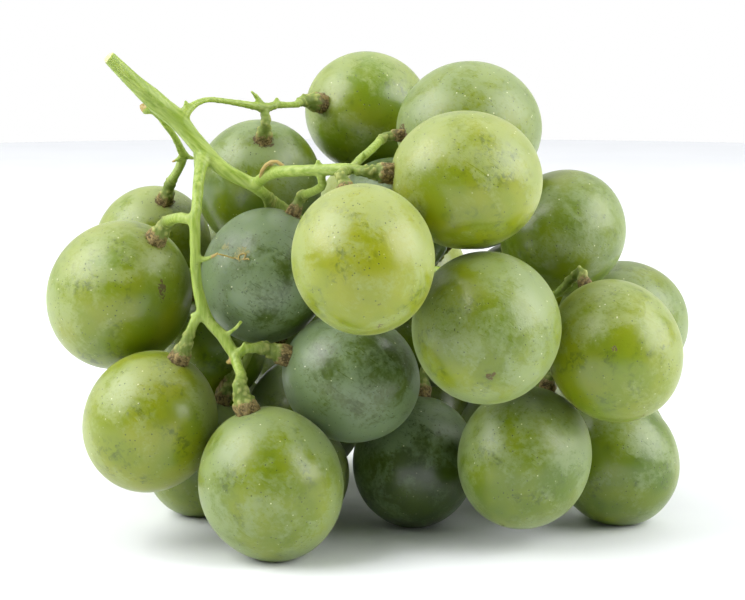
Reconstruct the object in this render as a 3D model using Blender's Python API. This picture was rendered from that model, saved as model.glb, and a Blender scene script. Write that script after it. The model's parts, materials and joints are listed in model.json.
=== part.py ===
"""A bunch of green table grapes, cut from the vine and lying on its side.

Each berry is one solid, slightly longer than it is wide, and its long axis points at its own stalk. The stem is one
grown piece: the main stem, its branches, the stalks and their flared caps are united into one closed body. The bunch
rests on the lowest berries, which have a small flat patch where they touch the surface.

Tables are in millimetres, in the bunch's own layout: +X to the right, +Y to the back, +Z up, Z = 0 the surface.
"""

import math
from dataclasses import dataclass
from itertools import combinations

import bmesh
import bpy
from mathutils import Vector

MM = 0.001
GAP = 0.4  # least space between two berries, and between a cap and its berry
LONGER = 1.085  # a berry's length over its width
PATCH_DEPTH = 0.3  # how much of a resting berry its flat patch takes off
HOVER = 1.0  # least height of a berry that doesn't rest on the surface
BERRY_SEGMENTS = 14
BERRY_RINGS = 9

ROUTE_STEPS = 2  # steps from one point of a route to the next
STALK_RADIUS = 0.8
TAPER = 4.5  # how far from its cap a stalk starts to thicken
CAP_RADIUS = 1.8
CAP_LENGTH = 2.0
NECK_WIDE = 0.58  # a cap's neck over its disc
BEND_OFF = 1.5  # how far before the neck a stalk turns into its cap's line
SHOULDER_OFF = 0.35  # where a cap's shoulder is, as a share of its length
SHOULDER_WIDE = 0.9  # and its radius, as a share of the cap's
CLEARANCE = 0.45  # least space between the stem and any berry
EASE_ROUNDS = 400
SHOWN_GIVE = 0.2  # how readily a berry that shows moves, against 1 for a hidden one
STEER_ROUNDS = 60
TUBE_RESOLUTION = 2  # Blender's bevel resolution, 8 sides
WELD = 1e-5
SHARP_ANGLE = math.radians(50)

GREEN = (0.36, 0.47, 0.10, 1.0)
YELLOW_GREEN = (0.46, 0.55, 0.12, 1.0)
BLUE_GREEN = (0.30, 0.40, 0.26, 1.0)
STEM_GREEN = (0.42, 0.52, 0.16, 1.0)


@dataclass
class Berry:
    """One berry: its middle, its mean diameter, and the way from its middle to its stalk."""

    name: str
    centre: Vector
    diameter: float
    stalk: Vector
    colour: tuple
    rests: bool
    shows: bool

    @property
    def longer(self):
        return LONG_BERRIES.get(self.name, LONGER)

    @property
    def long_radius(self):
        return self.diameter / 2 * self.longer ** (2 / 3)

    @property
    def short_radius(self):
        return self.diameter / 2 * self.longer ** (-1 / 3)

    def reach(self, way):
        """How far the berry reaches from its middle along a unit direction."""
        along = way.dot(self.stalk)
        return math.sqrt((self.long_radius * along) ** 2 + self.short_radius**2 * (1 - along**2))

    def room(self, point):
        """The distance from a point to the skin, along the line from the middle."""
        line = point - self.centre
        along = line.dot(self.stalk)
        across = math.sqrt(max(line.length_squared - along**2, 0.0))
        scaled = math.hypot(along / self.long_radius, across / self.short_radius)
        return line.length * (1 - 1 / scaled)

    def cap_point(self, off):
        """The point this far off the skin, straight above the stalk's end."""
        return self.centre + self.stalk * (self.long_radius + off)


# Berries whose place shows from the front: middle x, y, z, diameter, way to the stalk, colour, resting on the surface.
FRONT = (
    ("front_centre", (-1.5, -32, 52.7), 23.6, (-2, 5.5, 7), YELLOW_GREEN, False),
    ("centre", (18.8, -22, 39.9), 25.3, (0, 8, 4), GREEN, False),
    ("front_top", (15.5, -18, 63.9), 23.7, (-12.3, -1.5, 1.2), YELLOW_GREEN, False),
    ("front_right", (41, -12.7, 34.3), 23.4, (-4.4, 6, 10), YELLOW_GREEN, False),
    ("lower_right", (26, -10.7, 15.4), 23.5, (3, 4, 8), GREEN, False),
    ("lower_left", (-17, -19, 12.7), 24.9, (-2.8, 0, 9), GREEN, True),
    ("middle", (-3.5, -6.8, 28.1), 22.8, (-11, -2.5, 4.3), BLUE_GREEN, False),
    ("left_front", (-38, -10, 21.5), 23.5, (5, -2, 11), YELLOW_GREEN, False),
    ("upper_middle", (-18.6, -1, 45.4), 22.7, (5, 0, 11), BLUE_GREEN, False),
    ("left", (-44.5, 4.5, 41.2), 25.8, (7, -5, 10.5), YELLOW_GREEN, False),
    ("floor_middle", (7.2, 4, 11.1), 22.4, (1, 1.5, 9), BLUE_GREEN, True),
    ("floor_right", (43.3, 5.5, 11.5), 22.7, (-5, 0, 8), GREEN, True),
    ("floor_left", (-31, 11.5, 10), 20.5, (3, 0.5, 8), GREEN, True),
    ("right_rear", (45.5, 18.5, 33.8), 23.4, (-8, -5, 0.5), GREEN, False),
    ("right_upper", (33.7, 9, 51.6), 22.2, (-6, -5, -5.5), GREEN, False),
    ("top_right", (17, 8.5, 70), 24.5, (-12, -4.8, -0.6), GREEN, False),
    ("top_rear", (-0.8, 30.7, 70.9), 22.8, (-8.4, -8.1, 2.2), YELLOW_GREEN, False),
    ("rear_upper", (-20.5, 19, 59), 23.4, (1.3, -8.2, 9.2), GREEN, False),
    ("left_rear", (-41, 31.8, 46), 22.4, (3, -6.3, 9.6), YELLOW_GREEN, False),
    ("behind_top", (3.5, 18, 53), 22.5, (-1, -7, -5.5), BLUE_GREEN, False),
    ("left_inner", (-29.5, 21.3, 29.3), 20.5, (-3.6, -4, 9.5), YELLOW_GREEN, False),
    ("left_low", (-29, 36, 10.4), 21, (3.5, -3, 9.5), GREEN, True),
    ("inner_left", (-12.5, 21.5, 16), 22, (2, -4.5, 7.5), GREEN, False),
    ("under_middle", (-13.2, 2, 9.3), 18.5, (3, 4, 7.5), GREEN, True),
)
# Berries that the others hide from the front, the same way.
BACK = (
    ("inner_right", (11, 24, 32), 22, (-3, -8, 4.5), GREEN, False),
    ("floor_inner", (26, 21, 11), 22, (-1, -5, 8.5), GREEN, True),
    ("back_right", (29, 36, 36), 22.5, (-9, 3, 0), GREEN, False),
    ("back_upper_right", (20, 33.5, 57), 22.5, (-5, -1.5, -8), GREEN, False),
    ("back_upper", (0, 41.5, 50.5), 22, (1, -4.5, -8), YELLOW_GREEN, False),
    ("back_upper_left", (-22, 45, 42.5), 22, (2, -5.5, -7), GREEN, False),
    ("back_left", (-40, 47.5, 27), 22.5, (7, -5.5, 2.5), YELLOW_GREEN, False),
    ("back_low_left", (-13, 49, 20), 22, (-4, -6, 5.5), GREEN, False),
    ("back_floor", (8, 43, 12), 22.5, (1, -1.5, 9), GREEN, True),
    ("back_floor_right", (30, 45, 14.5), 22, (-6, -2, 8), GREEN, False),
    ("back_middle", (8, 57, 36.5), 22.5, (1, -9, -1.5), YELLOW_GREEN, False),
    ("right_floor_rear", (46, 32.5, 10), 19.5, (-6, -4.5, 6.5), GREEN, True),
)
LONG_BERRIES = {"front_top": 1.11}  # berries that are longer for their width than the rest

# The stem's branches: points x, y, z with the radius there. A branch starts inside the one that it grows from.
BRANCHES = {
    "main_stem": (
        (-44.6, -6, 83.6, 1.15),
        (-42.2, -5, 80.9, 1.35),
        (-39.3, -4, 78, 1.6),
        (-37.6, -3, 76.4, 1.8),
        (-35.5, -2, 74.3, 1.85),
        (-33.2, -2, 72.4, 1.8),
        (-31.1, -2.5, 69.8, 1.6),
        (-29, -3, 67.4, 1.6),
        (-27.1, -3.5, 65.5, 1.45),
        (-25, -4.5, 64, 1.35),
        (-21.6, -5, 62.3, 1.25),
        (-20, -4.5, 61.2, 1.1),
        (-18.2, 0, 59.1, 0.95),
        (-16, 5, 56.5, 1.0),
        (-11, 7.5, 51.4, 1.3),
        (-3, 6, 47.3, 1.5),
        (6, 6, 40.3, 1.6),
        (-6, 22.3, 37, 1.4),
        (-13, 29.5, 32.5, 1.2),
        (-20, 33.5, 29.7, 1.1),
    ),
    "rear_branch": (
        (-32.6, -2.2, 72.8, 1.4),
        (-31.8, -2, 74, 1.0),
        (-31.1, -1.5, 74.6, 0.8),
        (-30.2, -0.5, 75.2, 0.65),
        (-29, 1, 75.6, 0.6),
        (-27.5, 2.7, 75.6, 0.6),
        (-24.6, 5.5, 75, 0.62),
        (-21.1, 8, 74.2, 0.7),
        (-18.8, 9.5, 73.7, 0.9),
        (-17, 11, 74.1, 0.75),
        (-15.2, 14.3, 73.8, 0.65),
        (-13.6, 17.2, 73.7, 0.7),
    ),
    "left_branch": (
        (-37.1, -2.5, 75.3, 1.2),
        (-37.4, -1, 74, 0.85),
        (-36.5, 0.5, 72.8, 0.7),
        (-35.6, 3, 71, 0.65),
        (-34.7, 7, 68.9, 0.65),
        (-34.1, 11, 66.7, 0.75),
        (-33.7, 15, 64.8, 0.95),
    ),
    "front_branch": (
        (-28.7, -3.2, 67, 1.45),
        (-29.3, -6, 64.3, 1.1),
        (-29.5, -9, 61.2, 1.0),
        (-29.6, -11.5, 58, 0.95),
        (-29.9, -12, 56.4, 1.05),
        (-29.8, -12.5, 53.5, 0.95),
        (-29.8, -12.5, 49.3, 0.95),
        (-29.7, -12, 46.4, 0.95),
        (-29.3, -12, 44, 1.0),
        (-28.6, -12, 41.2, 1.15),
        (-27.3, -12, 38.8, 1.05),
        (-25.5, -12.5, 37, 1.1),
        (-24.4, -12.7, 35.3, 1.1),
        (-23.3, -13.5, 33.7, 1.0),
        (-22.6, -15.5, 32, 0.9),
        (-21.9, -17.5, 30.9, 0.9),
    ),
    "upper_branch": (
        (-20.9, -5, 62, 1.1),
        (-19.6, -5.8, 62.1, 1.05),
        (-18.6, -7, 63, 1.05),
        (-17.3, -8.5, 63.8, 1.05),
        (-15.4, -10.5, 64.5, 1.05),
        (-13.3, -12.5, 64.8, 1.05),
        (-8.9, -15.5, 65.3, 1.05),
        (-5, -17.5, 65.6, 1.1),
        (-3.4, -18, 65.7, 1.0),
    ),
    "inner_left_branch": (
        (-29.8, -2.5, 68.5, 1.2),
        (-30.2, 3, 62.7, 0.8),
        (-31.2, 7.5, 54.5, 0.75),
        (-31.4, 10.5, 45, 0.75),
        (-25, 11.3, 35.2, 0.8),
        (-21.5, 11.3, 31, 0.8),
    ),
    "right_branch": (
        (1, 6, 44.8, 1.3),
        (8, 0.7, 46, 1.1),
        (15, -3.3, 45.8, 1.1),
        (22, -3.2, 44.3, 1.1),
        (28, 1.2, 37.6, 1.0),
        (30, 2.5, 32, 0.9),
    ),
    "back_branch": (
        (-5, 20.2, 37.5, 1.2),
        (-3, 28.2, 37.5, 1.0),
        (4, 33.3, 36.7, 1.0),
        (12, 39.4, 35, 1.0),
    ),
}

# Each stalk's branch, about where it leaves it, and any points before it turns towards its berry's cap: x, y, z.
STALKS = {
    "front_centre": ("upper_branch", (-4.4, -17.7, 65.6)),
    "centre": ("right_branch", (14, -2.8, 46)),
    "front_top": ("upper_branch", (-3.6, -18, 65.7)),
    "front_right": ("right_branch", (23, -2.8, 43.5), (28.5, -3, 41.8), (32, -2, 42.5)),
    "lower_right": ("right_branch", (29, 1.5, 35)),
    "lower_left": ("front_branch", (-21.9, -17.5, 30.9)),
    "middle": ("front_branch", (-23.3, -13.5, 33.7), (-21, -13.2, 34.8)),
    "left_front": ("front_branch", (-28.6, -12, 41.2), (-30.2, -12.2, 39)),
    "upper_middle": ("upper_branch", (-8, -16, 65.3), (-8.3, -15, 63), (-9.2, -11, 61.6), (-10.9, -5.5, 60.3)),
    "left": ("front_branch", (-29.9, -12, 56.4), (-32.3, -10.5, 56.7), (-34, -6.5, 56)),
    "floor_middle": ("main_stem", (7, 5.5, 40), (12, 7.5, 33.4)),
    "floor_right": ("right_branch", (30, 2.5, 32.5), (35, 2.2, 28)),
    "floor_left": ("inner_left_branch", (-21.5, 11.3, 31), (-24, 11.8, 25.5)),
    "right_rear": ("right_branch", (27, 0.7, 39), (31, 5.3, 36.3)),
    "right_upper": ("right_branch", (19, -3.3, 45.5)),
    "top_right": ("upper_branch", (-3.6, -18, 65.7), (-2.2, -13, 66.7), (-0.4, -7, 67.7), (1, -1.5, 68.6)),
    "top_rear": ("rear_branch", (-13.6, 17.2, 73.7)),
    "rear_upper": ("rear_branch", (-18.8, 9.5, 73.7)),
    "left_rear": ("left_branch", (-33.7, 15, 64.8), (-35, 18.5, 61.8)),
    "behind_top": ("main_stem", (0, 6, 45.5)),
    "left_inner": ("inner_left_branch", (-31.4, 10, 47)),
    "left_low": ("main_stem", (-20, 33.5, 29.7)),
    "inner_left": ("main_stem", (-6, 22.3, 37), (-8, 18.5, 33)),
    "under_middle": ("main_stem", (-6, 22.3, 37), (-5, 14.5, 30), (-7, 10, 23.5)),
    "inner_right": ("main_stem", (3, 10.3, 39.8)),
    "floor_inner": ("right_branch", (29.5, 2.3, 33), (25, 9.7, 27.5)),
    "back_right": ("back_branch", (12, 39.4, 35)),
    "back_upper_right": ("back_branch", (1, 31.5, 37), (8, 31, 41.6)),
    "back_upper": ("back_branch", (-1, 30, 37)),
    "back_upper_left": ("main_stem", (-19, 33, 30)),
    "back_left": ("main_stem", (-19, 33, 30)),
    "back_low_left": ("main_stem", (-19, 33, 30)),
    "back_floor": ("back_branch", (8, 36.3, 35.8)),
    "back_floor_right": ("back_branch", (10, 38, 35.3), (18, 41, 28)),
    "back_middle": ("back_branch", (6, 35, 36.2)),
    "right_floor_rear": ("right_branch", (30, 2.5, 32.5), (32, 8.7, 28.5), (35, 19, 24)),
}
STALK_RADII = {
    "top_rear": 0.68,
    "rear_upper": 0.68,
    "left": 0.95,
    "left_rear": 0.9,
    "left_front": 0.88,
    "middle": 0.88,
    "lower_left": 0.9,
    "front_centre": 0.85,
}
# The caps that aren't like the rest: radius and length.
CAPS = {
    "lower_left": (2.35, 2.4),
    "left": (2.1, 2.2),
    "middle": (2.2, 2.2),
    "left_front": (1.95, 2.0),
    "front_top": (2.05, 2.2),
    "top_rear": (2.15, 2.4),
    "top_right": (1.45, 1.2),
    "upper_middle": (1.6, 1.3),
    "front_right": (1.7, 1.4),
}

# Bracts, stubs and the dried tendril: points x, y, z with the radius there.
SNAGS = {
    "rear_hook": ((-19.2, 9.5, 73.8, 0.7), (-20.4, 9, 75.7, 0.5), (-21.4, 8.5, 76.8, 0.2)),
    "rear_bump": ((-16.8, 11.3, 74.2, 0.6), (-16.9, 11.3, 75.5, 0.4)),
    "main_bump": ((-31.9, -2, 74.2, 0.6), (-31.9, -2, 75.9, 0.3)),
    "left_bract": ((-37.5, -1.5, 74.6, 0.9), (-38.8, -1.2, 74.2, 0.95), (-39.6, -1, 75.2, 0.5)),
    "left_spike": ((-33.8, 15, 64.5, 0.6), (-36, 15, 63.5, 0.22)),
    "right_spike": ((-33.5, 15, 64.7, 0.6), (-32.4, 14.5, 64.4, 0.45), (-31, 14, 64.2, 0.22)),
    "collar": ((-18.9, -6.8, 62.6, 0.5), (-18.4, -8.3, 64.5, 0.4), (-17, -9, 65.5, 0.4), (-15.8, -9.8, 65, 0.4)),
    "front_bud": ((-29.4, -8.8, 61.8, 0.9), (-29.6, -9.9, 61.9, 0.7)),
    "tendril": ((-29.8, -12.5, 50.2, 0.6), (-28.2, -13, 50, 0.5), (-26.6, -13.6, 50.7, 0.38), (-25.8, -14, 51.2, 0.3)),
    "front_stub": ((-29.2, -12, 40.6, 0.6), (-30.8, -12.2, 40.3, 0.38)),
    "front_hook": ((-25.2, -12.7, 36.4, 0.6), (-24, -13, 37.6, 0.4), (-23, -13.5, 38.4, 0.4), (-22, -13.5, 39.6, 0.4)),
    "lower_stub": ((-23.1, -13.8, 32.8, 0.6), (-24.7, -14, 32.5, 0.35)),
    "middle_lump": ((-21.8, -13.5, 34.6, 0.7), (-21.6, -13.7, 36, 0.35)),
    "upper_bump": ((-9, -15.5, 65.6, 0.7), (-9, -15.6, 67.1, 0.42)),
    "top_bump": ((-1.4, -13.7, 67, 0.6), (-1.5, -13.7, 68.2, 0.35)),
    "back_tip": ((-19, 33, 30, 0.9), (-22.5, 35.5, 27.7, 0.5)),
}


def clear_scene():
    for obj in list(bpy.data.objects):
        bpy.data.objects.remove(obj, do_unlink=True)


def material(name, colour, roughness):
    made = bpy.data.materials.new(name)
    made.use_nodes = True
    shader = made.node_tree.nodes["Principled BSDF"]
    shader.inputs["Base Color"].default_value = colour
    shader.inputs["Roughness"].default_value = roughness
    shader.inputs["Metallic"].default_value = 0.0
    made.diffuse_color = colour
    return made


def add_object(name, mesh, finish):
    obj = bpy.data.objects.new(name, mesh)
    bpy.context.scene.collection.objects.link(obj)
    mesh.materials.append(finish)
    mesh.shade_smooth()
    mesh.set_sharp_from_angle(angle=SHARP_ANGLE)
    return obj


def berries_of_tables():
    berries = []
    for rows, shows in ((FRONT, True), (BACK, False)):
        for place, centre, diameter, stalk, colour, rests in rows:
            way = Vector(stalk).normalized()
            berries.append(Berry(place, Vector(centre), diameter, way, colour, rests, shows))
    return berries


def ease_apart(berries):
    """Moves berries that touch until all are GAP apart, hidden ones most, and sets each at its height."""
    down = Vector((0, 0, -1))
    for _ in range(EASE_ROUNDS):
        for a, b in combinations(berries, 2):
            line = b.centre - a.centre
            way = line.normalized()
            short = GAP - (line.length - a.reach(way) - b.reach(way))
            if short > 0:
                give_a = SHOWN_GIVE if a.shows else 1.0
                give_b = SHOWN_GIVE if b.shows else 1.0
                a.centre -= way * short * give_a / (give_a + give_b)
                b.centre += way * short * give_b / (give_a + give_b)
        for berry in berries:
            lowest = berry.reach(down)
            if berry.rests:
                berry.centre.z = lowest - PATCH_DEPTH
            else:
                berry.centre.z = max(berry.centre.z, lowest + HOVER)


def berry_mesh(berry):
    """A sphere stretched along the stalk's way; a resting berry is cut flat at the surface."""
    bm = bmesh.new()
    bmesh.ops.create_uvsphere(bm, u_segments=BERRY_SEGMENTS, v_segments=BERRY_RINGS, radius=1.0)
    bmesh.ops.scale(bm, vec=(berry.short_radius, berry.short_radius, berry.long_radius), verts=bm.verts)
    turn = berry.stalk.to_track_quat("Z", "Y").to_matrix()
    bmesh.ops.rotate(bm, cent=(0, 0, 0), matrix=turn, verts=bm.verts)
    bmesh.ops.translate(bm, vec=berry.centre, verts=bm.verts)
    if berry.rests:
        everything = bm.verts[:] + bm.edges[:] + bm.faces[:]
        cut = bmesh.ops.bisect_plane(bm, geom=everything, plane_co=(0, 0, 0), plane_no=(0, 0, -1), clear_outer=True)
        rim = [piece for piece in cut["geom_cut"] if isinstance(piece, bmesh.types.BMEdge)]
        bmesh.ops.contextual_create(bm, geom=rim)
    bmesh.ops.recalc_face_normals(bm, faces=bm.faces)
    mesh = bpy.data.meshes.new(berry.name)
    bm.to_mesh(mesh)
    bm.free()
    return mesh


def smooth_route(points, steps):
    """A Catmull-Rom curve through points of position and radius, with this many steps from each to the next."""
    rows = [Vector(point) for point in points]
    padded = [rows[0] * 2 - rows[1], *rows, rows[-1] * 2 - rows[-2]]
    route = [rows[0]]
    for before, start, end, after in zip(padded, padded[1:], padded[2:], padded[3:]):
        for step in range(1, steps + 1):
            t = step / steps
            bend = (2 * before - 5 * start + 4 * end - after) * t + (3 * start - before - 3 * end + after) * t * t
            route.append(start + ((end - before) + bend) * t / 2)
    return route


def steer_clear(route, berries):
    """Pushes a route's inner points out of the berries, so that the stem grows between them."""
    for _ in range(STEER_ROUNDS):
        for i in range(1, len(route) - 1):
            point = route[i].xyz
            for berry in berries:
                short = route[i].w + CLEARANCE - berry.room(point)
                if short > 0:
                    point = point + (point - berry.centre).normalized() * short
            route[i] = Vector((*point, route[i].w))
    return route


def nearest_on(route, place):
    """The point of a route that is nearest to a place."""
    return min((point.xyz for point in route), key=lambda point: (point - Vector(place)).length)


def thickened(route, neck):
    """The route with its radius growing over its last TAPER to the neck's."""
    left = 0.0
    grown = [Vector((*route[-1].xyz, neck))]
    for point, after in zip(route[-2::-1], route[:0:-1]):
        left += (after - point).xyz.length
        share = max(1 - left / TAPER, 0.0)
        grown.insert(0, Vector((*point.xyz, point.w + (neck - point.w) * share)))
    return grown


def stalk_route(berry, berries, branches):
    """A stalk's points, and then its cap's: a neck that flares to a flat disc just off the skin."""
    branch, start, *between = STALKS[berry.name]
    places = [nearest_on(branches[branch], start), *between]
    radius, length = CAPS.get(berry.name, (CAP_RADIUS, CAP_LENGTH))
    places += [berry.cap_point(GAP + length + BEND_OFF), berry.cap_point(GAP + length)]
    thin = STALK_RADII.get(berry.name, STALK_RADIUS)
    route = smooth_route([(*place, thin) for place in places], ROUTE_STEPS)
    route = steer_clear(thickened(route, radius * NECK_WIDE), [other for other in berries if other is not berry])
    shoulder = berry.cap_point(GAP + length * SHOULDER_OFF)
    disc = berry.cap_point(GAP)
    return [*route, Vector((*shoulder, radius * SHOULDER_WIDE)), Vector((*disc, radius))]


def tube_mesh(name, route):
    """A closed tube along a route whose points carry their own radius."""
    curve = bpy.data.curves.new(name, "CURVE")
    curve.dimensions = "3D"
    curve.twist_mode = "MINIMUM"
    curve.bevel_depth = 1.0
    curve.bevel_resolution = TUBE_RESOLUTION
    curve.use_fill_caps = True
    spline = curve.splines.new("POLY")
    spline.points.add(len(route) - 1)
    for point, row in zip(spline.points, route):
        point.co = (*row.xyz, 1.0)
        point.radius = row.w
    holder = bpy.data.objects.new(name, curve)
    mesh = bpy.data.meshes.new_from_object(holder)
    bpy.data.objects.remove(holder, do_unlink=True)
    bpy.data.curves.remove(curve)
    bm = bmesh.new()
    bm.from_mesh(mesh)
    bmesh.ops.remove_doubles(bm, verts=bm.verts, dist=WELD)
    bmesh.ops.recalc_face_normals(bm, faces=bm.faces)
    bm.to_mesh(mesh)
    bm.free()
    return mesh


def stem_meshes(berries):
    """The closed tubes that the stem is united from, the main stem first."""
    branches = {name: steer_clear(smooth_route(points, ROUTE_STEPS), berries) for name, points in BRANCHES.items()}
    stalks = {f"stalk_{berry.name}": stalk_route(berry, berries, branches) for berry in berries}
    snags = {name: smooth_route(points, ROUTE_STEPS) for name, points in SNAGS.items()}
    routes = branches | stalks | snags
    return [tube_mesh(name, route) for name, route in routes.items()]


def united_stem(meshes, finish):
    """One object: the main stem, with a Boolean union over all the other tubes."""
    stem = add_object("stem", meshes[0], finish)
    tubes = bpy.data.collections.new("stem_tubes")
    bpy.context.scene.collection.children.link(tubes)
    for mesh in meshes[1:]:
        tube = bpy.data.objects.new(mesh.name, mesh)
        tube.hide_render = True
        tube.display_type = "WIRE"
        tubes.objects.link(tube)
    union = stem.modifiers.new("grow_together", "BOOLEAN")
    union.operation = "UNION"
    union.operand_type = "COLLECTION"
    union.collection = tubes
    union.solver = "EXACT"
    return stem


def recentre(meshes):
    """Moves everything so that the origin is at the middle of the base, and turns millimetres into metres."""
    corners = [vertex.co for mesh in meshes for vertex in mesh.vertices]
    middle_x = (min(c.x for c in corners) + max(c.x for c in corners)) / 2
    middle_y = (min(c.y for c in corners) + max(c.y for c in corners)) / 2
    for mesh in meshes:
        for vertex in mesh.vertices:
            vertex.co = (vertex.co - Vector((middle_x, middle_y, 0))) * MM
        mesh.update()


def main():
    clear_scene()
    berries = berries_of_tables()
    ease_apart(berries)
    berry_meshes = [berry_mesh(berry) for berry in berries]
    tubes = stem_meshes(berries)
    recentre([*berry_meshes, *tubes])
    for number, (berry, mesh) in enumerate(zip(berries, berry_meshes), start=1):
        name = f"grape_{number:02d}"
        add_object(name, mesh, material(name + "_skin", berry.colour, 0.4))
    united_stem(tubes, material("stem_skin", STEM_GREEN, 0.6))


main()
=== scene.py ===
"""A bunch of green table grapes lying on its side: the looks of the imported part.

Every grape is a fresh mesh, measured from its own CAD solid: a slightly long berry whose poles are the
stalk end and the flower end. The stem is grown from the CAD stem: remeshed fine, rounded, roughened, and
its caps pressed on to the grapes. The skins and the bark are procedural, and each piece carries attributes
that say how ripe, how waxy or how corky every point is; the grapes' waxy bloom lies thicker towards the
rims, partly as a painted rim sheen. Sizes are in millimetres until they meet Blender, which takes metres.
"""

import json
import logging
import math
from dataclasses import dataclass, field
from enum import Enum
from functools import cached_property

import bmesh
import bpy
import numpy as np
from mathutils import Matrix, Vector, noise

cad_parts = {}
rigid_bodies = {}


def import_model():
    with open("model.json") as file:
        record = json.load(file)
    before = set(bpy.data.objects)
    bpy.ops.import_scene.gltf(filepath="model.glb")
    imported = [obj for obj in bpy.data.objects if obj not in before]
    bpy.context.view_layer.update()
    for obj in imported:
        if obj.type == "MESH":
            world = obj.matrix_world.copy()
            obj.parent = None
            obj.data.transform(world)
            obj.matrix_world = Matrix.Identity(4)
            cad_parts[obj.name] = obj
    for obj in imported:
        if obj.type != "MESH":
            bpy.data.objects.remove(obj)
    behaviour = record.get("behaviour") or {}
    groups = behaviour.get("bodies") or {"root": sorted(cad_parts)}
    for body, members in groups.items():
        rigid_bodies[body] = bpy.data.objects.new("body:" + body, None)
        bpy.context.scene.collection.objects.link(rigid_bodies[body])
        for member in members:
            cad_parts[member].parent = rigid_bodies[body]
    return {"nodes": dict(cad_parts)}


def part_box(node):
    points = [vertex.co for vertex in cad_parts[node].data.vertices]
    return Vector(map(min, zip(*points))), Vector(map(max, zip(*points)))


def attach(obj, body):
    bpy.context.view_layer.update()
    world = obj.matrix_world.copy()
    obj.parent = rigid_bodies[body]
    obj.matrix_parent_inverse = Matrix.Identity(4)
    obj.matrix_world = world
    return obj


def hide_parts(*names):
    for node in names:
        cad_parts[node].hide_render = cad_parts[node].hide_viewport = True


for startup_object in list(bpy.data.objects):
    bpy.data.objects.remove(startup_object)
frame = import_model()

LOG = logging.getLogger("grapes")
MM = 0.001
BODY = "root"
STEM_NODE = "stem"
MERGED = 0.001  # vertices of the CAD stem this near each other are one
RESTING = 0.1  # a grape whose solid comes this near the floor rests on it

Colour = tuple[float, float, float, float]
Way = tuple[float, float, float]
Span = tuple[float, float]  # where a fade starts and where it is whole
Socket = bpy.types.NodeSocket
WHITE: Colour = (1.0, 1.0, 1.0, 1.0)


def paint(red: int, green: int, blue: int) -> Colour:
    """A colour given as a display shows it, in linear light.

    Args:
        red: Red, 0 to 255.
        green: Green, 0 to 255.
        blue: Blue, 0 to 255.

    Returns:
        The same colour as Blender's sockets take it, opaque.
    """

    def linear(part: int) -> float:
        """One channel without its display curve."""
        share = part / 255
        return share / 12.92 if share <= 0.04045 else ((share + 0.055) / 1.055) ** 2.4

    return (linear(red), linear(green), linear(blue), 1.0)


def fade(value: np.ndarray, start: float, end: float) -> np.ndarray:
    """A smooth step.

    Args:
        value: The values to step over.
        start: Where the step is still 0.
        end: Where the step has reached 1. It may lie below start.

    Returns:
        A value from 0 to 1 for each one given.
    """
    share = np.clip((value - start) / (end - start), 0.0, 1.0)
    return share * share * (3 - 2 * share)


def points_of(mesh: bpy.types.Mesh) -> np.ndarray:
    """Reads the mesh's vertices.

    Args:
        mesh: The mesh.

    Returns:
        Rows of x, y, z, in metres.
    """
    flat = np.empty(len(mesh.vertices) * 3)
    mesh.vertices.foreach_get("co", flat)
    return flat.reshape(-1, 3)


def place_points(mesh: bpy.types.Mesh, points: np.ndarray) -> None:
    """Moves the mesh's vertices to these rows of x, y, z, in metres."""
    mesh.vertices.foreach_set("co", points.ravel())
    mesh.update()


def paint_points(mesh: bpy.types.Mesh, name: str, values: np.ndarray) -> None:
    """Writes one number for each vertex, for a material to read.

    Args:
        mesh: The mesh that carries them.
        name: The attribute's name.
        values: One number for each vertex.
    """
    layer = mesh.attributes.new(name, "FLOAT", "POINT")
    layer.data.foreach_set("value", values.astype(np.float32))


def grain(points: np.ndarray, size: float, seed: float) -> np.ndarray:
    """Smooth noise at each point.

    Args:
        points: Rows of x, y, z, in metres.
        size: The size of its lumps, in millimetres.
        seed: Any number: another one gives another pattern.

    Returns:
        A value from about -1 to 1 for each point.
    """
    scaled = points / (size * MM) + seed
    return np.array([noise.noise(Vector(point)) for point in scaled])


def warts(points: np.ndarray, spacing: float, radius: float) -> np.ndarray:
    """Small round bumps strewn over a surface.

    Args:
        points: Rows of x, y, z, in metres.
        spacing: How far apart they lie, in millimetres.
        radius: A bump's radius, in millimetres.

    Returns:
        1 on a bump's top, 0 outside, for each point.
    """
    scaled = points / (spacing * MM)
    near = np.array([noise.voronoi(Vector(point))[0][0] for point in scaled]).reshape(-1)
    return np.sqrt(np.clip(1 - (near * spacing / radius) ** 2, 0.0, 1.0))


@dataclass(frozen=True)
class Step:
    """A smooth step over a value."""

    start: float  # where it still gives low
    end: float  # where it has reached high; it may lie below start
    low: float = 0.0
    high: float = 1.0


@dataclass(frozen=True)
class Pattern:
    """Smooth noise, or the part of it that shows."""

    size: float  # its largest lumps, in millimetres
    detail: float  # how many finer layers it has
    shows: Step | None = None
    twist: float = 0.0  # how far it is distorted
    turn: Way | None = None  # degrees about x, y and z that turn the x axis to the way it is drawn out
    length: float = 1.0  # how many times longer it gets that way


@dataclass(frozen=True)
class Dots:
    """Small round dots strewn over a surface."""

    spacing: float  # how far apart they may be, in millimetres
    radius: float  # a dot's radius, in millimetres
    share: float  # the share of the places for a dot that have one
    turn: Way | None = None  # keeps them off other dots
    core: float = 0.55  # the part of a dot's radius that is fully covered
    blur: float = 0.01  # how softly the places are chosen


@dataclass(frozen=True)
class Wander:
    """How a value drifts over a piece's surface."""

    depth: float  # how far it drifts up or down
    size: float  # over how many millimetres
    seed: float = 0.0

    def over(self, points: np.ndarray, number: int = 0) -> np.ndarray:
        """The drift at each point, in a pattern of its own for each number."""
        return self.depth * grain(points, self.size, self.seed + number)


def placed(name: str, data: bpy.types.ID) -> bpy.types.Object:
    """Puts a new object in the scene.

    Args:
        name: Its name.
        data: What it shows: a mesh, a light or a camera.

    Returns:
        The object.
    """
    item = bpy.data.objects.new(name, data)
    bpy.context.scene.collection.objects.link(item)
    return item


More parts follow.
